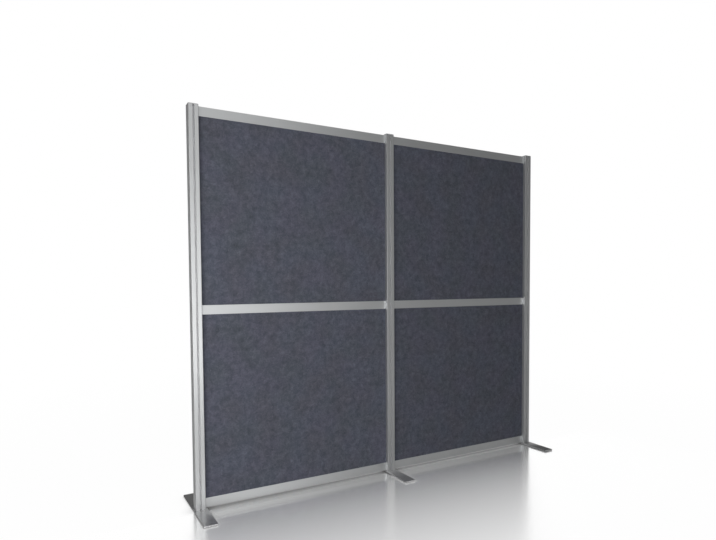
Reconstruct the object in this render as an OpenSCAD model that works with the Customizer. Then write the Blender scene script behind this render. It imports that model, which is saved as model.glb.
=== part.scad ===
// Free-standing acoustic divider screen with two bays. Three slotted square posts stand on flat
// foot plates. Six rails hook into the post slots and, with them, hold four felt boards.
// The origin is on the floor under the centre post, X runs along the screen and Y to the rear.

/* [Screen] */
// Height from the floor to the top of the post caps
screen_h = 1800; // [1200:10:2400]
// Clear width of each bay, from post face to post face
bay_w = 970; // [500:5:1250]

/* [Felt panels] */
// Thickness of a felt panel
panel_t = 6; // [5:0.5:9]
// Gap on each side of a panel in its slots and grooves
panel_gap = 0.3; // [0.2:0.05:0.5]
// Distance from a side edge of a panel to the floor of the post slot
panel_side_play = 4; // [2:0.5:6]
// Distance from the top edge of a panel to the bottom of the groove above it
panel_top_play = 1.5; // [1:0.5:3]
// Radius at the four corners of a panel
panel_corner_r = 2; // [1:0.5:4]

/* [Posts] */
// Side of the square post section
post_w = 45; // [42:1:60]
// Radius along the four outer edges of a post
post_corner_r = 2.5; // [1:0.25:4]
// Depth of a slot from the face of the post to its floor
slot_depth = 14; // [12:0.5:15]
// Thickness of the lips beside a slot mouth
lip_t = 3; // [2:0.25:4]
// Side of the block at each corner of the section, from the outer face to the slot behind its lips
corner_block_w = 13; // [12:0.5:14]
// Bevel along both edges of a slot mouth
mouth_bevel = 0.6; // [0.2:0.1:1]
// Thickness of the diagonal webs that carry the core
web_t = 3; // [2:0.25:4]
// Wall round the hollow in each corner of the section
corner_wall = 2; // [1.5:0.25:2.5]
// Diameter of the bore along the core of a post
core_bore_d = 6.8; // [5:0.1:7]

/* [Post caps] */
// Thickness of a cap above the post
cap_t = 4; // [3:0.5:6]
// Bevel round the top edge of a cap
cap_bevel = 1; // [0.5:0.25:2]
// Length of the pegs under a cap
cap_peg_l = 12; // [8:1:20]
// Length of the taper at the tip of a peg
cap_peg_taper = 3; // [1:0.5:5]
// Gap on each side of a peg
cap_peg_gap = 0.15; // [0.1:0.05:0.3]

/* [Rails] */
// Height of a rail
rail_h = 42; // [39:1:60]
// Thickness of the outer walls of a rail
rail_wall = 1.7; // [1.5:0.1:2.5]
// Thickness of the webs across a rail
rail_web_t = 2; // [1.5:0.1:2.5]
// Radius along the outer edges of a rail
rail_corner_r = 1; // [0.5:0.1:1.4]
// Depth of the groove that takes the edge of a panel
groove_depth = 9.5; // [8:0.5:11]
// Height of the cell that takes the hooks
hook_cell_h = 8.4; // [8:0.1:10]
// Distance from the top end of a post down to the top rail
rail_drop = 1; // [0.5:0.5:10]
// Gap between a foot plate and the bottom rail
rail_lift = 1; // [0.5:0.5:10]

/* [Rail hooks] */
// Length of a hook inside its rail
hook_l = 36; // [30:1:60]
// Gap on each side of a hook in its cell
hook_gap = 0.2; // [0.1:0.05:0.3]
// Thickness of the hook head behind the slot lips
hook_head_t = 4.5; // [3:0.25:5]
// Height of the hook head
hook_head_h = 14; // [10:1:18]
// Gap at each side of the hook head in the slot
hook_head_gap = 1; // [0.5:0.25:2]
// Bevel on the inner end of a hook and at the corners of its head
hook_bevel = 1; // [0.5:0.25:2]
// Distance of the rail screw from the post face
rail_screw_inset = 20; // [15:1:25]
// Thread diameter of a rail screw
rail_screw_d = 4; // [3:0.5:5]
// Head diameter of a rail screw
rail_screw_head_d = 7.2; // [6.5:0.1:7.4]
// Length of a rail screw
rail_screw_l = 6; // [5:0.5:7.5]
// Size across flats of the socket in a rail screw
rail_screw_key = 2.5; // [1.5:0.5:3]
// Depth of the socket in a rail screw
rail_screw_key_depth = 1.4; // [1:0.1:2]

/* [Feet] */
// Length of a foot plate across the screen
foot_l = 400; // [300:10:600]
// Width of a foot plate
foot_w = 60; // [60:1:90]
// Thickness of a foot plate
foot_t = 6; // [5:0.5:10]
// Radius at the corners of a foot plate
foot_corner_r = 3; // [1:0.5:10]
// Bevel along the top and bottom edges of a foot plate
foot_bevel = 0.6; // [0.3:0.1:1.5]
// Thread diameter of the foot screw
foot_screw_d = 8; // [8:0.5:10]
// Head diameter of the foot screw
foot_screw_head_d = 15.6; // [14:0.2:17]
// Length of the foot screw
foot_screw_l = 30; // [20:1:40]
// Size across flats of the socket in the foot screw
foot_screw_key = 5; // [4:0.5:6]
// Depth of the socket in the foot screw
foot_screw_key_depth = 2.5; // [2:0.25:4]
// Gap on each side of a foot pin in the corner hollow of a post
foot_pin_play = 0.5; // [0.3:0.1:0.8]
// Height of a foot pin above its plate
foot_pin_h = 8; // [5:0.5:15]
// Length of a rubber pad along its foot plate
pad_l = 50; // [30:1:80]
// Thickness of a rubber pad
pad_t = 1.5; // [1:0.25:4]
// Distance of a rubber pad from the edges of its foot plate
pad_inset = 5; // [3:0.5:10]
// Radius at the corners of a rubber pad
pad_corner_r = 4; // [1:0.5:8]

/* [Hidden] */
// Radial gap of a screw or pin in its hole
thread_gap = 0.05;
// Gap past the tip of a foot screw
screw_tip_gap = 2;
// How far a head lies below the face around it
head_sink = 0.1;
// How far a cut runs past a surface
cut = 1;
// Share of a peg's width that is left at its tip
peg_tip_share = 0.7;
// Segments in a rounded corner
corner_steps = 6;
// Facets of round pieces
round_fn = 48;

// Widths that follow from the panel
slot_w = panel_t + 2 * panel_gap;
rail_t = slot_w + 2 * rail_wall;

// Bays from left to right, and levels from the floor up, as counted in the lists of places
left = 0;
right = 1;
bottom = 0;
middle = 1;
top = 2;
lower = 0;
upper = 1;

// Places of the posts and the middles of the bays along X
post_pitch = bay_w + post_w;
left_post_x = -post_pitch;
centre_post_x = 0;
right_post_x = post_pitch;
post_x = [left_post_x, centre_post_x, right_post_x];
bay_x = [-post_pitch / 2, post_pitch / 2];

// Levels above the floor
foot_top = pad_t + foot_t;
post_top = screen_h - cap_t;
post_h = post_top - foot_top;
rail_z_bottom = foot_top + rail_lift + rail_h / 2;
rail_z_top = post_top - rail_drop - rail_h / 2;
rail_z_middle = (rail_z_bottom + rail_z_top) / 2;
rail_z = [rail_z_bottom, rail_z_middle, rail_z_top];

// A field is the opening between two rails
field_h = (rail_z_top - rail_z_bottom) / 2 - rail_h;
panel_w = bay_w + 2 * (slot_depth - panel_side_play);
panel_h = field_h + 2 * groove_depth - panel_top_play;

// Parts of the post section, where a chamber is a slot behind its lips
post_half = post_w / 2;
chamber_w = post_w - 2 * corner_block_w;
core_half = post_half - slot_depth;
web_shift = web_t / sqrt(2);
hollow_w = corner_block_w - 2 * corner_wall;
hollow_mid = post_half - corner_block_w / 2;

// Hooks, screws and pins
hook_body_w = slot_w - 2 * hook_gap;
hook_body_h = hook_cell_h - 2 * hook_gap;
hook_head_w = chamber_w - 2 * hook_head_gap;
foot_pin_d = hollow_w - 2 * foot_pin_play;

post_color = [0.73, 0.74, 0.76];
cap_color = [0.55, 0.56, 0.58];
rail_color = [0.70, 0.71, 0.73];
felt_color = [0.23, 0.23, 0.27];
foot_color = [0.46, 0.46, 0.47];
hook_color = [0.60, 0.60, 0.62];
screw_color = [0.35, 0.35, 0.36];
pad_color = [0.08, 0.08, 0.08];

// Points of a rectangle about the origin with its corners rounded to radius r
function rounded_points(w, h, r) = [
    for (corner = [0 : 3], step = [0 : corner_steps])
        let (
            angle = 90 * (corner + step / corner_steps),
            side_x = corner == 0 || corner == 3 ? 1 : -1,
            side_y = corner < 2 ? 1 : -1
        )
        [side_x * (w / 2 - r) + r * cos(angle), side_y * (h / 2 - r) + r * sin(angle)]
];

// Right half of a slot that opens towards +Y, from the mouth to the floor
function slot_half() = [
    [slot_w / 2 + mouth_bevel + cut, post_half + cut],
    [slot_w / 2, post_half - mouth_bevel],
    [slot_w / 2, post_half - lip_t],
    [chamber_w / 2, post_half - lip_t],
    [chamber_w / 2, chamber_w / 2 + web_shift],
    [core_half - web_shift, core_half]
];

// Section of a post: four slots round a bored core, with a hollow in each corner
module post_section() {
    slot_side = slot_half();
    slot_other_side = [for (i = [len(slot_side) - 1 : -1 : 0]) [-slot_side[i].x, slot_side[i].y]];
    difference() {
        polygon(rounded_points(post_w, post_w, post_corner_r));
        for (turn = [0 : 90 : 270])
            rotate(turn) {
                polygon(concat(slot_side, slot_other_side));
                translate([hollow_mid, hollow_mid])
                    square(hollow_w, center = true);
            }
        circle(d = core_bore_d, $fn = round_fn);
    }
}

// Post with its section along Z and a threaded bore at its foot
module post(x) {
    thread_h = foot_screw_l - foot_t + screw_tip_gap;
    translate([x, 0, foot_top])
        difference() {
            linear_extrude(post_h)
                post_section();
            translate([0, 0, -cut])
                cylinder(h = thread_h + cut, d = foot_screw_d + 2 * thread_gap, $fn = round_fn);
        }
}

// Square peg with a tapered tip, hanging down from the XY plane
module square_peg(side) {
    mirror([0, 0, 1]) {
        linear_extrude(cap_peg_l - cap_peg_taper)
            square(side, center = true);
        translate([0, 0, cap_peg_l - cap_peg_taper])
            linear_extrude(cap_peg_taper, scale = peg_tip_share)
                square(side, center = true);
    }
}

// Lid of a post with a peg in each corner hollow and one in the core bore
module post_cap(x) {
    outline = rounded_points(post_w, post_w, post_corner_r);
    translate([x, 0, post_top]) {
        linear_extrude(cap_t - cap_bevel)
            polygon(outline);
        translate([0, 0, cap_t - cap_bevel])
            linear_extrude(cap_bevel, scale = 1 - 2 * cap_bevel / post_w)
                polygon(outline);
        for (turn = [0 : 90 : 270])
            rotate(turn)
                translate([hollow_mid, hollow_mid, 0])
                    square_peg(hollow_w - 2 * cap_peg_gap);
        translate([0, 0, -cap_peg_l])
            cylinder(h = cap_peg_l, d = core_bore_d - 2 * cap_peg_gap, $fn = round_fn);
    }
}

// Upper half of the hollows in a rail section, with or without a groove for a panel
module rail_hollows(grooved) {
    cell_start = hook_cell_h / 2 + rail_web_t;
    groove_start = rail_h / 2 - groove_depth;
    cell_end = grooved ? groove_start - rail_web_t : rail_h / 2 - rail_wall;
    translate([-slot_w / 2, cell_start])
        square([slot_w, cell_end - cell_start]);
    if (grooved)
        translate([-slot_w / 2, groove_start])
            square([slot_w, groove_depth + cut]);
}

// Section of a rail: a cell for the hooks at mid height, with hollows above and below it
module rail_section(groove_above, groove_below) {
    difference() {
        polygon(rounded_points(rail_t, rail_h, rail_corner_r));
        square([slot_w, hook_cell_h], center = true);
        rail_hollows(groove_above);
        mirror([0, 1])
            rail_hollows(groove_below);
    }
}

// Countersunk screw along Z with its head at the origin and its tip towards -Z
module countersunk_screw(length, d, head_d, key, key_depth) {
    head_h = (head_d - d) / 2;
    difference() {
        rotate_extrude($fn = round_fn)
            polygon([
                [0, 0],
                [head_d / 2, 0],
                [d / 2, -head_h],
                [d / 2, -length + d / 4],
                [d / 4, -length],
                [0, -length]
            ]);
        translate([0, 0, -key_depth])
            cylinder(h = key_depth + cut, d = key / cos(30), $fn = 6);
    }
}

// Countersunk hole along Z for such a screw, from above the face at the origin downwards
module countersunk_hole(length, d, head_d) {
    head_h = (head_d - d) / 2;
    hole_r = d / 2 + thread_gap;
    mouth_r = head_d / 2 + thread_gap;
    translate([0, 0, -length - cut])
        cylinder(h = length + 2 * cut, r = hole_r, $fn = round_fn);
    translate([0, 0, -head_sink - head_h])
        cylinder(h = head_h, r1 = hole_r, r2 = mouth_r, $fn = round_fn);
    translate([0, 0, -head_sink])
        cylinder(h = head_sink + cut, r = mouth_r, $fn = round_fn);
}

// Place children at both ends of a bay, with X pointing into the rail from the post face
module rail_ends(bay, z) {
    for (side = [0, 1])
        translate([bay_x[bay], 0, z])
            mirror([side, 0, 0])
                translate([-bay_w / 2, 0, 0])
                    children();
}

// Turn children from Z to +Y, at the rail screw in the rear face of a rail
module at_rail_screw() {
    translate([rail_screw_inset, rail_t / 2, 0])
        rotate([-90, 0, 0])
            children();
}

// Rail with a groove above it, unless it is the top one, and below it, unless it is the bottom one
module rail(bay, level) {
    difference() {
        translate([bay_x[bay] - bay_w / 2, 0, rail_z[level]])
            rotate([90, 0, 90])
                linear_extrude(bay_w)
                    rail_section(level != top, level != bottom);
        rail_ends(bay, rail_z[level])
            at_rail_screw()
                countersunk_hole(rail_wall, rail_screw_d, rail_screw_head_d);
    }
}

// Hook with its body in the rail cell and its head behind the lips of the post slot
module rail_hook() {
    body_half = hook_body_w / 2;
    difference() {
        union() {
            translate([0, 0, -hook_body_h / 2])
                linear_extrude(hook_body_h)
                    polygon([
                        [-lip_t - hook_head_t, -body_half],
                        [hook_l - hook_bevel, -body_half],
                        [hook_l, -body_half + hook_bevel],
                        [hook_l, body_half - hook_bevel],
                        [hook_l - hook_bevel, body_half],
                        [-lip_t - hook_head_t, body_half]
                    ]);
            translate([-lip_t - hook_head_t, 0, 0])
                rotate([90, 0, 90])
                    linear_extrude(hook_head_t)
                        polygon(rounded_points(hook_head_w, hook_head_h, hook_bevel));
        }
        at_rail_screw()
            countersunk_hole(rail_t - rail_wall, rail_screw_d, rail_screw_head_d);
    }
}

module rail_hooks(level) {
    for (bay = [left, right])
        rail_ends(bay, rail_z[level])
            rail_hook();
}

module rail_screws() {
    color(screw_color)
        for (bay = [left, right], level = [bottom, middle, top])
            rail_ends(bay, rail_z[level])
                at_rail_screw()
                    translate([0, 0, -head_sink])
                        countersunk_screw(rail_screw_l, rail_screw_d, rail_screw_head_d,
                                          rail_screw_key, rail_screw_key_depth);
}

// Felt board that stands on the bottom of the groove below it
module panel(bay, field) {
    panel_bottom = rail_z[field] + rail_h / 2 - groove_depth;
    translate([bay_x[bay], 0, panel_bottom + panel_h / 2])
        rotate([90, 0, 0])
            linear_extrude(panel_t, center = true)
                polygon(rounded_points(panel_w, panel_h, panel_corner_r));
}

// Bar along X with all four of its long edges bevelled
module bevelled_bar(length, width, height) {
    rotate([90, 0, 90])
        linear_extrude(length, center = true)
            polygon([
                [-width / 2 + foot_bevel, 0],
                [width / 2 - foot_bevel, 0],
                [width / 2, foot_bevel],
                [width / 2, height - foot_bevel],
                [width / 2 - foot_bevel, height],
                [-width / 2 + foot_bevel, height],
                [-width / 2, height - foot_bevel],
                [-width / 2, foot_bevel]
            ]);
}

// Place children at the two corner hollows that take pins
module at_foot_pins() {
    for (side = [-1, 1])
        translate([side * hollow_mid, side * hollow_mid, 0])
            children();
}

module foot(x) {
    translate([x, 0, pad_t])
        difference() {
            intersection() {
                linear_extrude(foot_t)
                    polygon(rounded_points(foot_w, foot_l, foot_corner_r));
                bevelled_bar(foot_w, foot_l, foot_t);
                rotate(90)
                    bevelled_bar(foot_l, foot_w, foot_t);
            }
            mirror([0, 0, 1])
                countersunk_hole(foot_t, foot_screw_d, foot_screw_head_d);
            at_foot_pins()
                translate([0, 0, -cut])
                    cylinder(h = foot_t + 2 * cut, r = foot_pin_d / 2 + thread_gap, $fn = round_fn);
        }
}

module foot_screws() {
    color(screw_color)
        for (x = post_x)
            translate([x, 0, pad_t + head_sink])
                mirror([0, 0, 1])
                    countersunk_screw(foot_screw_l, foot_screw_d, foot_screw_head_d,
                                      foot_screw_key, foot_screw_key_depth);
}

module foot_pins() {
    color(screw_color)
        for (x = post_x)
            translate([x, 0, pad_t])
                at_foot_pins()
                    cylinder(h = foot_t + foot_pin_h, d = foot_pin_d, $fn = round_fn);
}

module foot_pads(x) {
    for (side = [-1, 1])
        translate([x, side * (foot_l / 2 - pad_inset - pad_l / 2), 0])
            linear_extrude(pad_t)
                polygon(rounded_points(foot_w - 2 * pad_inset, pad_l, pad_corner_r));
}

// One module for each sub-part
module left_post() { color(post_color) post(left_post_x); }
module centre_post() { color(post_color) post(centre_post_x); }
module right_post() { color(post_color) post(right_post_x); }

module left_post_cap() { color(cap_color) post_cap(left_post_x); }
module centre_post_cap() { color(cap_color) post_cap(centre_post_x); }
module right_post_cap() { color(cap_color) post_cap(right_post_x); }

module left_top_rail() { color(rail_color) rail(left, top); }
module left_middle_rail() { color(rail_color) rail(left, middle); }
module left_bottom_rail() { color(rail_color) rail(left, bottom); }
module right_top_rail() { color(rail_color) rail(right, top); }
module right_middle_rail() { color(rail_color) rail(right, middle); }
module right_bottom_rail() { color(rail_color) rail(right, bottom); }

module left_upper_panel() { color(felt_color) panel(left, upper); }
module left_lower_panel() { color(felt_color) panel(left, lower); }
module right_upper_panel() { color(felt_color) panel(right, upper); }
module right_lower_panel() { color(felt_color) panel(right, lower); }

module top_rail_hooks() { color(hook_color) rail_hooks(top); }
module middle_rail_hooks() { color(hook_color) rail_hooks(middle); }
module bottom_rail_hooks() { color(hook_color) rail_hooks(bottom); }

module left_foot() { color(foot_color) foot(left_post_x); }
module centre_foot() { color(foot_color) foot(centre_post_x); }
module right_foot() { color(foot_color) foot(right_post_x); }

module left_foot_pads() { color(pad_color) foot_pads(left_post_x); }
module centre_foot_pads() { color(pad_color) foot_pads(centre_post_x); }
module right_foot_pads() { color(pad_color) foot_pads(right_post_x); }

left_post();
centre_post();
right_post();
left_post_cap();
centre_post_cap();
right_post_cap();
left_top_rail();
left_middle_rail();
left_bottom_rail();
right_top_rail();
right_middle_rail();
right_bottom_rail();
left_upper_panel();
left_lower_panel();
right_upper_panel();
right_lower_panel();
top_rail_hooks();
middle_rail_hooks();
bottom_rail_hooks();
rail_screws();
left_foot();
centre_foot();
right_foot();
foot_screws();
foot_pins();
left_foot_pads();
centre_foot_pads();
right_foot_pads();
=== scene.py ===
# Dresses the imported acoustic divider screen: felt boards, anodised posts and rails, steel feet,
# a pale studio floor, soft light and the camera. Lengths are in metres.
from math import cos, pi, sin

import bpy
import numpy as np
from mathutils import Matrix, Vector


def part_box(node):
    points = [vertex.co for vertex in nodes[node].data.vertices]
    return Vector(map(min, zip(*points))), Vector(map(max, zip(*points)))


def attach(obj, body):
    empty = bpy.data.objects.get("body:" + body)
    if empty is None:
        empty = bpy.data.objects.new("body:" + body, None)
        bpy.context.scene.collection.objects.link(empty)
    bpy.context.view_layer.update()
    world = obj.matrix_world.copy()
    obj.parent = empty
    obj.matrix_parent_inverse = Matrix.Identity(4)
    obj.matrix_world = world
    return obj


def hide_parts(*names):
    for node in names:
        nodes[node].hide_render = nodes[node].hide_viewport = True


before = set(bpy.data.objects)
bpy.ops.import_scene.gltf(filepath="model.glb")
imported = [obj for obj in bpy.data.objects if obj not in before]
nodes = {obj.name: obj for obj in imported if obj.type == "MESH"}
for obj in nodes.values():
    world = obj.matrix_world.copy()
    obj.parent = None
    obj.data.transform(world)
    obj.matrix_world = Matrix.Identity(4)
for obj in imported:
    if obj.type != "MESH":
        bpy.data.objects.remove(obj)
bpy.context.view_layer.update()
print("frame loaded:", len(nodes), "nodes")


# Shader maths: a Signal wraps one output socket, so that sums of signals add Math nodes
class Signal:
    def __init__(self, board, socket):
        self.board = board
        self.socket = socket

    def math(self, operation, *others, clamp=False, mirrored=False):
        terms = (*others, self) if mirrored else (self, *others)
        return self.board.add(
            "ShaderNodeMath", {"operation": operation, "use_clamp": clamp}, dict(enumerate(terms)))

    def __add__(self, other):
        return self.math("ADD", other)

    def __sub__(self, other):
        return self.math("SUBTRACT", other)

    def __mul__(self, other):
        return self.math("MULTIPLY", other)

    def __truediv__(self, other):
        return self.math("DIVIDE", other)

    def __pow__(self, other):
        return self.math("POWER", other)

    def __rsub__(self, other):
        return self.math("SUBTRACT", other, mirrored=True)

    def __rtruediv__(self, other):
        return self.math("DIVIDE", other, mirrored=True)

    def __rpow__(self, other):
        return self.math("POWER", other, mirrored=True)

    __radd__ = __add__
    __rmul__ = __mul__

    def abs(self):
        return self.math("ABSOLUTE")

    def atMost(self, other):
        return self.math("MINIMUM", other)

    def atLeast(self, other):
        return self.math("MAXIMUM", other)

    def clamped(self):
        return self.math("ADD", 0, clamp=True)

    # swing of a noise about its middle, as wide as share says
    def spread(self, share):
        return (self - 0.5) * share

    # 0 below low, 1 above high and an even S between them; low may be the larger one
    def step(self, low, high):
        return self.board.add(
            "ShaderNodeMapRange", {"interpolation_type": "SMOOTHSTEP"},
            {"Value": self, "From Min": low, "From Max": high})


# A node tree, filled by one method that makes any node
class Board:
    def __init__(self, tree):
        self.tree = tree
        tree.nodes.clear()

    # settings come first, where stops fill a colour ramp; inputs are values or Signals by socket
    def add(self, kind, settings=(), inputs=(), out=0):
        node = self.tree.nodes.new(kind)
        for name, value in dict(settings).items():
            if name == "stops":
                for stop, (place, colour) in zip(self.stopsFor(node.color_ramp, len(value)), value):
                    stop.position = place
                    stop.color = (*colour, 1)
            else:
                setattr(node, name, value)
        for key, value in dict(inputs).items():
            if isinstance(value, Signal):
                self.tree.links.new(value.socket, node.inputs[key])
            else:
                node.inputs[key].default_value = value
        return Signal(self, node.outputs[out]) if len(node.outputs) else None

    def stopsFor(self, ramp, count):
        while len(ramp.elements) < count:
            ramp.elements.new(0.5)
        return ramp.elements

    # position on the piece in metres, times stretch along each axis
    def place(self, stretch=(1, 1, 1)):
        spot = self.add("ShaderNodeTexCoord", out="Object")
        return self.add(
            "ShaderNodeVectorMath", {"operation": "MULTIPLY"}, {0: spot, 1: stretch})

    def split(self, vector):
        first = self.add("ShaderNodeSeparateXYZ", inputs={0: vector})
        return [Signal(self, output) for output in first.socket.node.outputs]

    def axes(self):
        return self.split(self.place())

    # what kind of ray looks at the surface, each 0 or 1
    def rays(self, *kinds):
        first = self.add("ShaderNodeLightPath")
        return [Signal(self, first.socket.node.outputs[kind]) for kind in kinds]

    # soft noise about 0.5, as many bumps to the metre as scale says
    def noise(self, scale, detail=2, rough=0.5, warp=0, stretch=(1, 1, 1), shift=(0, 0, 0)):
        spot = self.add(
            "ShaderNodeVectorMath", {"operation": "ADD"}, {0: self.place(stretch), 1: shift})
        return self.add(
            "ShaderNodeTexNoise", {"normalize": True},
            {"Vector": spot, "Scale": scale, "Detail": detail, "Roughness": rough,
             "Distortion": warp})

    # one noise for each entry of a dictionary of layers
    def layers(self, specs):
        return [self.noise(**spec) for spec in specs.values()]

    def ramp(self, value, *stops):
        return self.add("ShaderNodeValToRGB", {"stops": stops}, {0: value})

    # colour a where share is 0 and colour b where it is 1
    def blend(self, share, a, b, how="MIX"):
        a, b = (c if isinstance(c, Signal) else (*c, 1) for c in (a, b))
        return self.add(
            "ShaderNodeMix", {"data_type": "RGBA", "blend_type": how},
            {0: share, 6: a, 7: b}, out=2)

    # from a darker to a lighter tone of one colour as shade goes from 0 to 1
    def tones(self, shade, colour, width):
        return self.blend(shade, [c * (1 - width) for c in colour],
                          [min(c * (1 + width), 1) for c in colour])

    def bump(self, height, depth, strength=1):
        return self.add(
            "ShaderNodeBump", inputs={"Height": height, "Distance": depth, "Strength": strength})

    def principled(self, **sockets):
        names = {
            "colour": "Base Color", "rough": "Roughness", "metal": "Metallic", "normal": "Normal",
            "coat": "Coat Weight", "coatRough": "Coat Roughness", "mirror": "Specular IOR Level",
            "sheen": "Sheen Weight", "sheenRough": "Sheen Roughness", "sheenTint": "Sheen Tint"}
        return self.add(
            "ShaderNodeBsdfPrincipled",
            inputs={names[key]: value for key, value in sockets.items()})

    # plain reflection, as bright as level says
    def mirror(self, level, rough, **sockets):
        return self.add("ShaderNodeBsdfAnisotropic", inputs={
            "Color": (level, level, level, 1), "Roughness": rough, **sockets})

    # shader a where share is 0 and shader b where it is 1
    def mixShaders(self, share, a, b):
        return self.add("ShaderNodeMixShader", inputs={0: share, 1: a, 2: b})

    def finish(self, shader, kind="ShaderNodeOutputMaterial"):
        self.add(kind, inputs={"Surface": shader})


def newMaterial(name):
    material = bpy.data.materials.new(name)
    material.use_nodes = True
    return material, Board(material.node_tree)


def coat(piece, material):
    piece.data.materials.clear()
    piece.data.materials.append(material)


def addPiece(name, points, faces):
    mesh = bpy.data.meshes.new(name)
    mesh.from_pydata(points, [], faces)
    mesh.update()
    piece = bpy.data.objects.new(name, mesh)
    bpy.context.scene.collection.objects.link(piece)
    return piece


# Felt boards: one closed surface each, with a full round along the edges and a faint relief
feltBoard = {
    "step": 0.007,  # grid step in the field
    "roundSteps": 5,  # grid lines over the rounded edge
    "relief": 0.00012,  # height of the waves in the felt
    "waves": 14,
    "wavesPerMetre": (4, 26),
    "flatEdge": 0.011,  # the part held by rails and posts stays flat
    "flatFade": 0.03,
    "seed": 7,
}


# Distance along one side at each grid line, and how far into the edge round it lies (1 to 0 to 1):
# x(i) = r (1 - cos t) over the round, then even steps to the far round
def sideLines(length, r, spec):
    t = np.linspace(0, pi / 2, spec["roundSteps"] + 1)
    inset = 1 - np.sin(t[::-1])
    count = int((length - 2 * r) / spec["step"])
    middle = np.linspace(0, 1, count + 1)[1:-1]
    inner = np.concatenate([np.zeros_like(inset), middle, np.ones_like(inset)])
    edge = np.concatenate([inset - 1, np.zeros_like(middle), 1 - inset[::-1]])
    return r + inner * (length - 2 * r), edge


# Relief of a face: height / sqrt(n) times the sum of n waves cos(2 pi (f . p) + s), each with its
# own f and s, faded to 0 where the edges are held
def feltRelief(x, z, low, high, spec, random):
    total = np.zeros_like(x)
    for _ in range(spec["waves"]):
        turn = random.uniform(0, 2 * pi)
        pace = random.uniform(*spec["wavesPerMetre"])
        phase = random.uniform(0, 2 * pi)
        total += np.cos(2 * pi * pace * (x * cos(turn) + z * sin(turn)) + phase)
    inward = np.minimum.reduce([x - low.x, high.x - x, z - low.z, high.z - z])
    fade = np.clip((inward - spec["flatEdge"]) / spec["flatFade"], 0, 1)
    return spec["relief"] * total / spec["waves"] ** 0.5 * fade * fade * (3 - 2 * fade)


# Both faces as grids of two parameters: on the rounded rim (a, b) goes from the square to the
# disc, a' = a sqrt(1 - b b / 2), b' = b sqrt(1 - a a / 2), and the half thickness is
# r sqrt(1 - a' a' - b' b'); the two grids share their border points
def makeFelt(name, node, seed):
    low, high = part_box(node)
    r = (high.y - low.y) / 2
    random = np.random.default_rng(seed)
    alongX, edgeX = sideLines(high.x - low.x, r, feltBoard)
    alongZ, edgeZ = sideLines(high.z - low.z, r, feltBoard)
    baseX, baseZ = np.meshgrid(alongX, alongZ, indexing="ij")
    a, b = np.meshgrid(edgeX, edgeZ, indexing="ij")
    discA, discB = a * np.sqrt(1 - b * b / 2), b * np.sqrt(1 - a * a / 2)
    half = r * np.sqrt(np.clip(1 - discA ** 2 - discB ** 2, 0, 1))
    x, z = low.x + baseX + r * discA, low.z + baseZ + r * discB
    middle = (low.y + high.y) / 2
    front = middle - half + feltRelief(x, z, low, high, feltBoard, random)
    back = middle + half + feltRelief(x, z, low, high, feltBoard, random)

    index = np.arange(x.size).reshape(x.shape)
    border = np.ones(x.shape, bool)
    border[1:-1, 1:-1] = False
    front[border] = middle
    backIndex = np.where(border, index, 0)
    backIndex[~border] = x.size + np.arange((~border).sum())
    points = np.concatenate([
        np.stack([x, front, z], -1).reshape(-1, 3),
        np.stack([x[~border], back[~border], z[~border]], -1)])

    def quads(grid):
        return np.stack(
            [grid[:-1, :-1], grid[1:, :-1], grid[1:, 1:], grid[:-1, 1:]], -1).reshape(-1, 4)

    faces = np.concatenate([quads(index), quads(backIndex)[:, ::-1]])
    piece = addPiece(name, points.tolist(), faces.tolist())
    piece.data.polygons.foreach_set("use_smooth", np.ones(len(faces), bool))
    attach(piece, "root")
    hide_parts(node)
    return piece


feltFinish = {
    "stops": ((0.22, (0.043, 0.045, 0.058)),  # dark, middle and light, by the shade
              (0.5, (0.075, 0.078, 0.101)),
              (0.8, (0.121, 0.123, 0.155))),
    "castTints": ((0.952, 1.008, 1.0), (0.998, 0.992, 1.0)),  # from greenish to violet
    "washTints": ((1, 1, 0.972), (1, 1, 1.028)),  # from grey to blue
    "tintEdge": (0.3, 0.7),
    "bays": ((1.02, 1.02, 1.02), (0.93, 0.93, 0.93)),  # painted light and shade: the left bay a little lighter, the right bay darker
    "bayJoin": (-0.005, 0.005),
    "layers": {  # scales are to the metre
        "patches": {"scale": 34, "detail": 3, "rough": 0.62, "warp": 0.4},
        "tufts": {"scale": 150, "detail": 3, "rough": 0.65, "warp": 0.8, "shift": (3, 1, 7)},
        "fibres": {"scale": 1100, "detail": 2, "rough": 0.6, "warp": 2.5, "shift": (5, 2, 1)},
        "lying": {"scale": 550, "detail": 1, "warp": 1.5, "stretch": (0.12, 1, 1),
                  "shift": (1, 9, 4)},
        "standing": {"scale": 550, "detail": 1, "warp": 1.5, "stretch": (1, 1, 0.12),
                     "shift": (8, 3, 2)},
        "cast": {"scale": 8, "detail": 0, "shift": (2, 4, 6)},
        "wash": {"scale": 8, "detail": 0, "shift": (9, 5, 1)},
    },
    "patchShare": 0.72,  # how much each layer moves the shade
    "tuftShare": 0.55,
    "fibreShare": 0.18,
    "washShare": 0.09,
    "fleck": (0.24, 0.24, 0.28),  # pale strands
    "fleckFrom": (0.66, 0.78),
    "fleckShare": 0.35,
    "heights": (0.5, 0.5, 0.8),  # of the fibres, the strands and the tufts
    "bump": (0.0006, 0.6),  # depth and strength
    "surface": {"rough": 0.93, "sheen": 0.12, "sheenRough": 0.5,
                "sheenTint": (0.75, 0.78, 0.9, 1), "mirror": 0.25},
}


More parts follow.
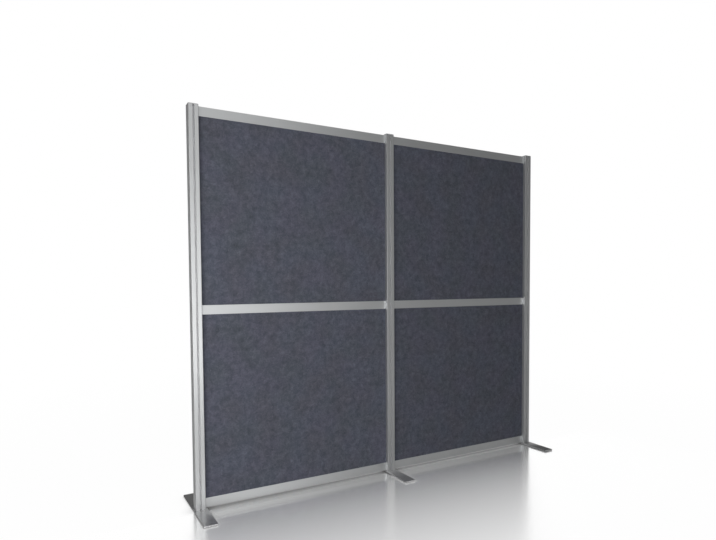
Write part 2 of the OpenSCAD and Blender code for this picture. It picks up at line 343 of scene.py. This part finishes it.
def feltMaterial(spec):
    material, board = newMaterial("pressedFelt")
    patches, tufts, fibres, lying, standing, cast, wash = board.layers(spec["layers"])
    strands = lying.atLeast(standing)
    shade = (0.5 + patches.spread(spec["patchShare"]) + tufts.spread(spec["tuftShare"])
             + fibres.spread(spec["fibreShare"]) + wash.spread(spec["washShare"]))
    colour = board.ramp(shade.clamped(), *spec["stops"])
    for layer, tints in ((cast, "castTints"), (wash, "washTints")):
        tint = board.blend(layer.step(*spec["tintEdge"]), *spec[tints])
        colour = board.blend(1, colour, tint, "MULTIPLY")
    fleck = strands.step(*spec["fleckFrom"]) * spec["fleckShare"]
    colour = board.blend(fleck, colour, spec["fleck"])
    along = board.axes()[0]
    # painted light and shade across the two bays
    bay = board.blend(along.step(*spec["bayJoin"]), *spec["bays"])
    colour = board.blend(1, colour, bay, "MULTIPLY")
    ofFibres, ofStrands, ofTufts = spec["heights"]
    height = fibres * ofFibres + strands * ofStrands + tufts * ofTufts
    board.finish(board.principled(
        colour=colour, normal=board.bump(height, *spec["bump"]), **spec["surface"]))
    return material


felt = feltMaterial(feltFinish)
fields = [(side, level) for side in ("left", "right") for level in ("Upper", "Lower")]
for number, (side, level) in enumerate(fields):
    node = f"{side}_{level.lower()}_panel"
    coat(makeFelt(side + level + "Felt", node, feltBoard["seed"] + number), felt)
print("felt boards made")


# From post to post and half of a post's side, for the finishes that are laid out from the posts
posts = {"pitch": 1.015, "half": 0.0225}


# Distance along x from the middle of the nearest post
def fromPost(x):
    return x.math("WRAP", posts["pitch"] / 2, -posts["pitch"] / 2).abs()


# Anodised extrusions: fine die lines along the length, a thin oxide coat and faint clouds
aluminiumFinish = {
    "post": {"colour": (0.62, 0.63, 0.635), "rough": 0.36, "drawn": (1, 1, 0.0015)},
    "rail": {"colour": (0.58, 0.59, 0.595), "rough": 0.42, "drawn": (0.0015, 1, 1)},
    "lines": {"scale": 900, "detail": 3, "rough": 0.7},
    "bands": {"scale": 170, "detail": 1, "shift": (4, 4, 4)},
    "clouds": {"scale": 7, "detail": 4, "rough": 0.6, "shift": (1, 2, 3)},
    "lineTone": 0.16,  # how much each layer moves the tone
    "bandTone": 0.10,
    "cloudTone": 0.10,
    "toneWidth": 0.12,
    "lineRough": 0.07,  # how much they vary the roughness
    "cloudRough": 0.05,
    "bump": (0.00002, 0.5),
    "surface": {"metal": 0.93, "coat": 0.12, "coatRough": 0.22},
}

# Faces of a post, with painted light and shade: corners, slot mouths and lips are rougher and
# painted darker to damp their glints, the faces toward the bays are rougher and painted darker, and
# the slots are painted bright inside.
# Each pair is a distance where the change begins and one where it is full.
slottedFaces = {
    "edge": (0.37, 0.37, 0.375),  # painted shade: darker corners and mouths of the slots, against their glints
    "edgeRough": 0.28,
    "cornerBand": (0.0025, 0.0015),
    "mouthBand": (0.0045, 0.0041),
    "insideFace": (0.0002, 0.0010),  # painted shade behind the flat of the face
    "lipDepth": (0.0010, 0.0018),  # and farther in, where the slot's walls are painted bright
    # painted light inside the slots
    "slotInsideLight": (0.78, 0.79, 0.80),
    "sideShade": 0.88,  # painted shade on the faces toward the bays
    "sideRough": 0.20,
    "sideEdge": (0, 0.001),
    "leftSlotLight": (0.87, 0.875, 0.88),  # painted light: the left post's front slot is painted bright to its mouth
    "slotHalf": (0.0065, 0.0055),
    "slotReach": (1.65, 1.25),  # fading out toward the top
    "leftPost": (-0.6, -0.9),
}


def dressFaces(board, light, rough, spec):
    x, y, z = board.axes()
    across, through = fromPost(x), y.abs()
    deep = posts["half"] - across.atLeast(through)
    inside = deep.step(*spec["insideFace"])
    corner = (across + through).step(*[2 * posts["half"] - d for d in spec["cornerBand"]])
    mouth = across.atMost(through).step(*spec["mouthBand"])
    side = (across - through).step(*spec["sideEdge"])
    # painted shade on the corners, the slot mouths and just inside the slots, which are also
    # rougher
    roughAndShaded = inside.atLeast(corner).atLeast(mouth)
    light = board.blend(roughAndShaded, light, spec["edge"])
    # painted shade on the faces toward the bays
    light = board.blend(side, light, [spec["sideShade"]] * 3, "MULTIPLY")
    # painted light deeper in the slots
    light = board.blend(deep.step(*spec["lipDepth"]), light, spec["slotInsideLight"])
    # painted light in the left post's front slot, fading toward the top
    bright = inside * across.step(*spec["slotHalf"])
    bright = bright * x.step(*spec["leftPost"]) * z.step(*spec["slotReach"])
    light = board.blend(bright, light, spec["leftSlotLight"])
    rough = rough + roughAndShaded * spec["edgeRough"] + side * (1 - roughAndShaded) * spec["sideRough"]
    return light, rough


def aluminiumMaterial(name, part, spec):
    material, board = newMaterial(name)
    own = spec[part]
    lines, bands = (
        board.noise(**spec[layer], stretch=own["drawn"]) for layer in ("lines", "bands"))
    clouds = board.noise(**spec["clouds"])
    shade = (lines.spread(spec["lineTone"]) + bands.spread(spec["bandTone"])
             + clouds.spread(spec["cloudTone"]))
    light = board.tones((0.5 + shade).clamped(), own["colour"], spec["toneWidth"])
    rough = own["rough"] + lines.spread(spec["lineRough"]) + clouds.spread(spec["cloudRough"])
    # the posts get painted light and shade on their corners, slots and sides
    if part == "post":
        light, rough = dressFaces(board, light, rough, slottedFaces)
    board.finish(board.principled(
        colour=light, rough=rough, normal=board.bump(lines, *spec["bump"]), **spec["surface"]))
    return material


# Post caps: moulded plastic, silver grey, with a fine even grain
capFinish = {
    "colour": (0.40, 0.405, 0.41),
    "toneWidth": 0.1,
    "layers": {
        "grain": {"scale": 1600, "detail": 2, "rough": 0.6},
        "clouds": {"scale": 30, "detail": 2},
    },
    "grainTone": 0.5,
    "cloudTone": 0.4,
    "rough": 0.52,
    "grainRough": 0.12,
    "bump": (0.00008, 0.5),
    "surface": {"metal": 0.25},
}


def capMaterial(spec):
    material, board = newMaterial("mouldedCap")
    grain, clouds = board.layers(spec["layers"])
    shade = (0.5 + grain.spread(spec["grainTone"]) + clouds.spread(spec["cloudTone"])).clamped()
    board.finish(board.principled(
        colour=board.tones(shade, spec["colour"], spec["toneWidth"]),
        rough=spec["rough"] + grain.spread(spec["grainRough"]),
        normal=board.bump(grain, *spec["bump"]), **spec["surface"]))
    return material


# Foot plates: dark satin steel, ground along the plate and trodden bare in places, with painted
# shade on the outer plates and a painted highlight on the front ends.
# Pairs are distances in x, y or z where a change begins and where it is full.
footFinish = {
    "colour": (0.066, 0.066, 0.068),
    "toneWidth": 0.14,
    "size": (0.060, 0.400),
    "layers": {
        "grind": {"scale": 1400, "detail": 3, "rough": 0.7, "stretch": (1, 0.03, 1)},
        "smears": {"scale": 26, "detail": 4, "rough": 0.65, "warp": 0.6},
        "scuffs": {"scale": 420, "detail": 3, "rough": 0.75, "stretch": (0.25, 1, 1),
                   "shift": (2, 2, 2)},
        "chips": {"scale": 160, "detail": 3, "rough": 0.7, "shift": (6, 1, 3)},
    },
    "grindTone": 0.3,
    "smearTone": 0.35,
    "leftPlate": (-0.4, -0.9),
    "rightPlate": (0.4, 0.9),
    "leftPlateShade": 0.8,  # painted shade: the outer plates are darker
    "rightPlateShade": 0.4,
    "darkest": (0.01, 0.01, 0.01),
    "bare": (0.58, 0.58, 0.585),
    "bareShare": 0.85,
    "bareFrom": (0.03, -0.03),  # the front halves are trodden bare, the left one most
    "bareAlong": (1.0, -0.5),
    "bareSmears": 0.5,
    "heelReach": (-0.13, -0.04),  # and all of them a little just in front of the posts
    "heelFrom": (0, -0.02),
    "heelShare": 0.8,
    "heelLess": 0.3,  # on the right plate
    "polished": (0.82, 0.82, 0.825),  # the centre plate's bare metal
    "polishedAlong": ((-0.8, -0.3), (0.7, 0.3)),
    "topFace": (0.0060, 0.0068),  # the top faces are trodden more than the sides
    "sideShare": 0.4,
    # worn edges, partly a painted highlight: the front ends are painted bright
    "edge": (0.60, 0.60, 0.605),
    "edgeWidth": 0.0026,
    "edgeFull": 0.0003,
    "edgeShare": 0.15,
    "edgeRight": 0.45,  # more on the right plate
    "edgeChips": (0.30, 0.55),
    "edgeCover": 0.95,
    "edgeBare": 0.1,
    "rough": 0.30,
    "smearRough": 0.16,
    "grindRough": 0.08,
    "scuffEdge": (0.62, 0.74),
    "scuffRough": 0.10,
    "rightRough": 0.2,
    "bump": (0.00002, 0.4),
    "surface": {"mirror": 0.2},
}


def footMaterial(spec):
    material, board = newMaterial("satinSteelPlate")
    x, y, z = board.axes()
    left, right = x.step(*spec["leftPlate"]), x.step(*spec["rightPlate"])
    grind, smears, scuffs, chips = board.layers(spec["layers"])

    width, length = spec["size"]
    inward = (width / 2 - fromPost(x)).atMost(length / 2 - y.abs())
    # worn edges and, on the front ends, a painted highlight
    ends = (length / 2 + y).step(spec["edgeWidth"] / 2, spec["edgeFull"])
    sides = inward.step(spec["edgeWidth"], spec["edgeFull"])
    edge = (sides * (spec["edgeShare"] + right * spec["edgeRight"])).atLeast(ends)
    edge = edge * chips.step(*spec["edgeChips"])

    trodden = y.step(*spec["bareFrom"]) * x.step(*spec["bareAlong"]) * spec["bareShare"]
    heel = y.step(*spec["heelReach"]) * y.step(*spec["heelFrom"]) * (1 - right * spec["heelLess"])
    trodden = trodden.atLeast(heel * spec["heelShare"])
    onTop = spec["sideShare"] + z.step(*spec["topFace"]) * (1 - spec["sideShare"])
    trodden = trodden * onTop.atLeast(right)

    shade = (0.5 + grind.spread(spec["grindTone"]) + smears.spread(spec["smearTone"])).clamped()
    colour = board.tones(shade, spec["colour"], spec["toneWidth"])
    # painted shade on the outer plates
    for plate, share in ((left, "leftPlateShade"), (right, "rightPlateShade")):
        colour = board.blend(plate * spec[share], colour, spec["darkest"])
    fromLeft, fromRight = (x.step(*pair) for pair in spec["polishedAlong"])
    bareMetal = board.blend(fromLeft * fromRight, spec["bare"], spec["polished"])
    colour = board.blend(trodden, colour, bareMetal)
    colour = board.blend(edge * spec["edgeCover"], colour, spec["edge"])

    metal = trodden + smears.spread(spec["bareSmears"]) * trodden
    metal = metal * (1 - edge) + edge * spec["edgeBare"]
    rough = (spec["rough"] + smears.spread(spec["smearRough"]) + grind.spread(spec["grindRough"])
             + scuffs.step(*spec["scuffEdge"]) * spec["scuffRough"] + right * spec["rightRough"])
    board.finish(board.principled(
        colour=colour, metal=metal, rough=rough, normal=board.bump(grind, *spec["bump"]),
        **spec["surface"]))
    return material


# Small steel: zinc on the hooks, a dark oil finish on screws and pins
smallSteel = {
    "zincHook": {"colour": (0.56, 0.57, 0.60), "toneWidth": 0.18, "rough": 0.38, "scale": 220},
    "darkScrew": {"colour": (0.075, 0.074, 0.073), "toneWidth": 0.3, "rough": 0.34, "scale": 600},
}
steelSurface = {"fineness": 6, "spangleRough": 0.2, "bump": (0.00003, 0.4)}


def steelMaterial(name, spec, surface):
    material, board = newMaterial(name)
    spangle = board.noise(spec["scale"], detail=3, rough=0.6, warp=1)
    fine = board.noise(spec["scale"] * surface["fineness"], detail=2, rough=0.6)
    board.finish(board.principled(
        colour=board.tones(spangle, spec["colour"], spec["toneWidth"]), metal=1,
        rough=spec["rough"] + spangle.spread(surface["spangleRough"]),
        normal=board.bump(fine, *surface["bump"])))
    return material


# Rubber pads: matt black with a fine pebble
rubberPad = {
    "colour": (0.022, 0.022, 0.023),
    "dust": (0.075, 0.073, 0.070),
    "dustEdge": (0.5, 0.8),
    "dustShare": 0.5,
    "layers": {
        "pebble": {"scale": 1300, "detail": 2, "rough": 0.5},
        "dust": {"scale": 90, "detail": 4, "rough": 0.7},
    },
    "rough": 0.78,
    "pebbleRough": 0.2,
    "bump": (0.0001, 0.7),
    "surface": {"mirror": 0.35},
}


def rubberMaterial(spec):
    material, board = newMaterial("padRubber")
    pebble, dust = board.layers(spec["layers"])
    dusty = dust.step(*spec["dustEdge"]) * spec["dustShare"]
    board.finish(board.principled(
        colour=board.blend(dusty, spec["colour"], spec["dust"]),
        rough=spec["rough"] + pebble.spread(spec["pebbleRough"]),
        normal=board.bump(pebble, *spec["bump"]), **spec["surface"]))
    return material


zinc, darkSteel = (steelMaterial(name, spec, steelSurface) for name, spec in smallSteel.items())
finishes = {  # by the ending of a node's name
    "_post": aluminiumMaterial("anodisedPost", "post", aluminiumFinish),
    "_post_cap": capMaterial(capFinish),
    "_rail": aluminiumMaterial("anodisedRail", "rail", aluminiumFinish),
    "_hooks": zinc,
    "_screws": darkSteel,
    "_pins": darkSteel,
    "_foot": footMaterial(footFinish),
    "_pads": rubberMaterial(rubberPad),
    "_panel": felt,
}
for name, node in nodes.items():
    coat(node, next(finish for ending, finish in finishes.items() if name.endswith(ending)))
print("finishes on the frame's nodes")


# Floor: white, a soft mirror in front of the screen that fades with the distance from it, and
# painted contact shadows near the rails and plates.
# Pairs are distances in metres where a change begins and where it is full.
floorStudio = {
    "reach": 60,
    "plain": (0.62, 0.62, 0.62),
    "matt": {"rough": 0.9, "mirror": 0.1},
    "shadowColour": (0.10, 0.10, 0.10),  # painted shadow colour under the rails and plates
    "sheetFrom": (-0.16, -0.04),  # the white sheet that metal sees behind the screen
    "sheetEdge": (-1.1, -0.7),  # its left edge
    "sheetTurn": 0.066,
    "mirror": 0.84,  # share of the reflection right under the screen, seen at the angle below
    "mirrorFacing": 0.593,
    "mirrorGain": 1.3,  # more where the floor is seen at a lower angle, less from above
    "mirrorLength": 1.35,
    "haze": 3000,  # fine waves that blur the reflection, to the metre
    "hazeDepth": (0.00005, 0.00018),  # of the clear and of the wide part of the reflection
    "wideShare": 0.3,
    "softColour": 0.85,  # of the reflection that metal sees
    "softRough": 0.13,
    "halfWidth": (1.9, 1.25),  # of the mirror, from the screen's middle
    "whiteNear": 0.985,  # share of plain white near the screen, where the floor keeps its shadow
    "whiteReach": (1.2, 4.5),
    "railFront": 0.005,  # from the screen's middle
    "ahead": (-0.020, -0.030),  # where the front begins
    "ends": (1.05, 1.0),  # the ends of the screen
    "under": (0.023, 0.013),  # painted shadow darkens the floor up to this distance from the rails' front
    "underShade": 0.52,
    "front": (0.140, 0.105),  # the strip that mirrors the bottom rails, which also gets painted shade
    "stripShade": 0.7,
    "frontEase": 0.45,  # less of it toward the right
    "easeAlong": (-0.5, 0.3),
    "leftShare": 0.45,  # the reflection loses this much in that strip at the left end
    "leftAlong": (-0.1, -0.8),
    "platePower": 8,  # no reflection of the plates' edges right beside them
    "plateFrom": (-0.04, -0.09),
    "plateAlong": ((-1.05, -1.03), (0.6, 0.4)),
    "plateShadeLevel": 0.31,  # lightness of the painted shade on the floor there
    "contact": 0.07,  # how far from the object the painted contact shadow reaches
    "contactPower": 2.5,
    "contactMirror": 0.5,
}


def floorMaterial(spec):
    material, board = newMaterial("paleFloor")
    x, y = board.axes()[:2]
    camera, glossy, through = board.rays(
        "Is Camera Ray", "Is Glossy Ray", "Is Transmission Ray")
    room = board.add("ShaderNodeAmbientOcclusion", {"samples": 8},
                     {"Distance": spec["contact"]}, out="AO")
    ahead, ends = y.step(*spec["ahead"]), x.abs().step(*spec["ends"])
    fromRails = (y + spec["railFront"]).abs()
    strip = fromRails.step(*spec["front"]) * ahead * ends
    afterLeft, beforeRight = (x.step(*pair) for pair in spec["plateAlong"])
    plate = ((1 - room ** spec["platePower"]) * y.step(*spec["plateFrom"])
             * afterLeft * beforeRight * camera)

    # painted shade on the floor: how light it is, from 0 in a contact shadow to 1 in the open
    unshaded = room ** (1 + ends * (spec["contactPower"] - 1))
    unshaded = unshaded * (1 - fromRails.step(*spec["under"]) * ends * spec["underShade"])
    # painted shade in the strip before the rails, to the camera, and beside the plates
    dark = spec["stripShade"] - x.step(*spec["easeAlong"]) * spec["frontEase"]
    unshaded = unshaded * (1 - strip * camera * dark)
    unshaded = unshaded * (1 - plate) + plate * spec["plateShadeLevel"]

    # plain white to the camera everywhere, and to metal on the sheet
    sheet = y.step(*spec["sheetFrom"]) * (x + y * spec["sheetTurn"]).step(*spec["sheetEdge"])
    seen = (camera + (glossy + through) * sheet).clamped()
    away = ((x * x + y * y) ** 0.5).step(*spec["whiteReach"])
    whiteShare = (spec["whiteNear"] + away * (1 - spec["whiteNear"])) * seen
    plain = board.principled(
        colour=board.blend(unshaded, spec["shadowColour"], spec["plain"]), **spec["matt"])
    white = board.add("ShaderNodeEmission", inputs={"Color": (1, 1, 1, 1), "Strength": 1.0})
    base = board.mixShaders(whiteShare * unshaded, plain, white)

    # how much of the reflection shows
    fade = (1 + y / spec["mirrorLength"]).clamped()
    facing = board.add("ShaderNodeLayerWeight", inputs={"Blend": 0.5}, out="Facing")
    gain = 1 + (facing - spec["mirrorFacing"]) * spec["mirrorGain"]
    share = (fade * x.abs().step(*spec["halfWidth"]) * room ** spec["contactMirror"] * ahead
             * spec["mirror"] * gain).clamped()
    share = share * (1 - strip * x.step(*spec["leftAlong"]) * spec["leftShare"])
    share = share * (1 - plate)
    waves = board.noise(spec["haze"], detail=0)
    clear, wide = (
        board.mirror(1, 0, Normal=board.bump(waves, depth)) for depth in spec["hazeDepth"])
    sharp = board.mixShaders(spec["wideShare"], clear, wide)
    mirror = board.mixShaders(camera, board.mirror(spec["softColour"], spec["softRough"]), sharp)
    board.finish(board.mixShaders(share, base, mirror))
    return material


half = floorStudio["reach"]
floor = addPiece(
    "studioFloor", [(-half, -half, 0), (half, -half, 0), (half, half, 0), (-half, half, 0)],
    [(0, 1, 2, 3)])
coat(floor, floorMaterial(floorStudio))

# Studio light: an even pale room, and soft panels in front of the screen and at its left
studio = {
    "ambient": 0.09,  # what lights the object from the front
    "rearAmbient": 0.65,  # added by the white backdrop behind it
    "rearEdge": (0.0, 0.4),
    "dim": 0.165,  # what metal sees of the room away from the backdrop and the ceiling
    "backdrop": (0.494, 0.869, 0.0),  # direction of the white backdrop
    "backdropEdge": (0.74, 0.86),
    "ceilingEdge": (0.55, 0.85),
}


def makeWorld(spec):
    world = bpy.data.worlds.new("paleStudio")
    bpy.context.scene.world = world
    world.use_nodes = True
    board = Board(world.node_tree)
    aim = board.add("ShaderNodeTexCoord", out="Generated")
    toward = board.add(
        "ShaderNodeVectorMath", {"operation": "DOT_PRODUCT"}, {0: aim, 1: spec["backdrop"]},
        out="Value")
    rear, up = board.split(aim)[1:]
    camera, through, singular, glossy = board.rays(
        "Is Camera Ray", "Is Transmission Ray", "Is Singular Ray", "Is Glossy Ray")
    seen = (camera + through + singular).clamped()
    bright = toward.step(*spec["backdropEdge"]).atLeast(up.step(*spec["ceilingEdge"]))
    inMetal = spec["dim"] + bright * (1 - spec["dim"])
    onPiece = spec["ambient"] + rear.step(*spec["rearEdge"]) * spec["rearAmbient"]
    level = seen + (1 - seen) * (glossy * inMetal + (1 - glossy) * onPiece)
    board.finish(
        board.add("ShaderNodeBackground", inputs={"Color": (1, 1, 1, 1), "Strength": level}),
        "ShaderNodeOutputWorld")


makeWorld(studio)

# Soft panels: where each one stands, the point that it faces, its two sides and its watts
softPanels = {
    "keyPanel": {
        "place": (-2.4, -1.65, 0.95), "aim": (-0.95, 0, 0.85), "size": (1.3, 1.1), "power": 27},
    "highPanel": {
        "place": (-2.4, -1.65, 1.5), "aim": (-0.95, 0, 1.25), "size": (1.3, 1.1), "power": 4.4},
    "leftPanel": {
        "place": (-1.9, -3.3, 1.1), "aim": (-0.95, 0, 0.95), "size": (0.8, 1.7), "power": 18.5},
    "frontPanel": {
        "place": (-0.2, -3.25, 1.05), "aim": (-0.7, 0, 1.0), "size": (2.0, 2.0), "power": 11.7},
    "sidePanel": {
        "place": (3.6, -3.3, 1.0), "aim": (0.9, 0, 0.9), "size": (2.0, 2.0), "power": 1.2},
    "topPanel": {
        "place": (-0.7, -2.6, 3.1), "aim": (-0.45, 0, 1.0), "size": (3.0, 1.6), "power": 9},
    "lowPanel": {
        "place": (-0.7, -2.9, 0.35), "aim": (-0.7, 0, 0.6), "size": (1.8, 0.6), "power": 3.5},
}
for name, spec in softPanels.items():
    lamp = bpy.data.lights.new(name, "AREA")
    lamp.shape = "RECTANGLE"
    lamp.size, lamp.size_y = spec["size"]
    lamp.energy = spec["power"]
    holder = bpy.data.objects.new(name, lamp)
    bpy.context.scene.collection.objects.link(holder)
    holder.location = spec["place"]
    holder.visible_camera = False
    aim = Vector(spec["aim"]) - Vector(spec["place"])
    holder.rotation_euler = aim.to_track_quat("-Z", "Y").to_euler()
print("studio set up")

# Camera: the photograph's place, turn, tilt and lens, angles in radians
cameraView = {
    "place": (-1.5781, -2.4447, 1.0059),
    "turn": 0.5168,  # from +Y towards +X
    "tilt": 0.0427,  # down
    "roll": 0.0066,
    "lens": 27.283,
    "sensor": 36,
    "shiftY": 0.0540,
    "farthest": 200,
}


def makeCamera(spec):
    turn, tilt, roll = spec["turn"], spec["tilt"], spec["roll"]
    ahead = Vector((sin(turn) * cos(tilt), cos(turn) * cos(tilt), -sin(tilt)))
    level = Vector((cos(turn), -sin(turn), 0))
    down = ahead.cross(level)
    right = cos(roll) * level + sin(roll) * down
    up = sin(roll) * level - cos(roll) * down
    data = bpy.data.cameras.new("photoCamera")
    data.lens = spec["lens"]
    data.sensor_width = spec["sensor"]
    data.shift_y = spec["shiftY"]
    data.clip_end = spec["farthest"]
    camera = bpy.data.objects.new("photoCamera", data)
    bpy.context.scene.collection.objects.link(camera)
    turned = Matrix((right, up, -ahead)).transposed().to_4x4()
    camera.matrix_world = Matrix.Translation(spec["place"]) @ turned
    bpy.context.scene.camera = camera


makeCamera(cameraView)
bpy.context.scene.view_settings.view_transform = "Standard"
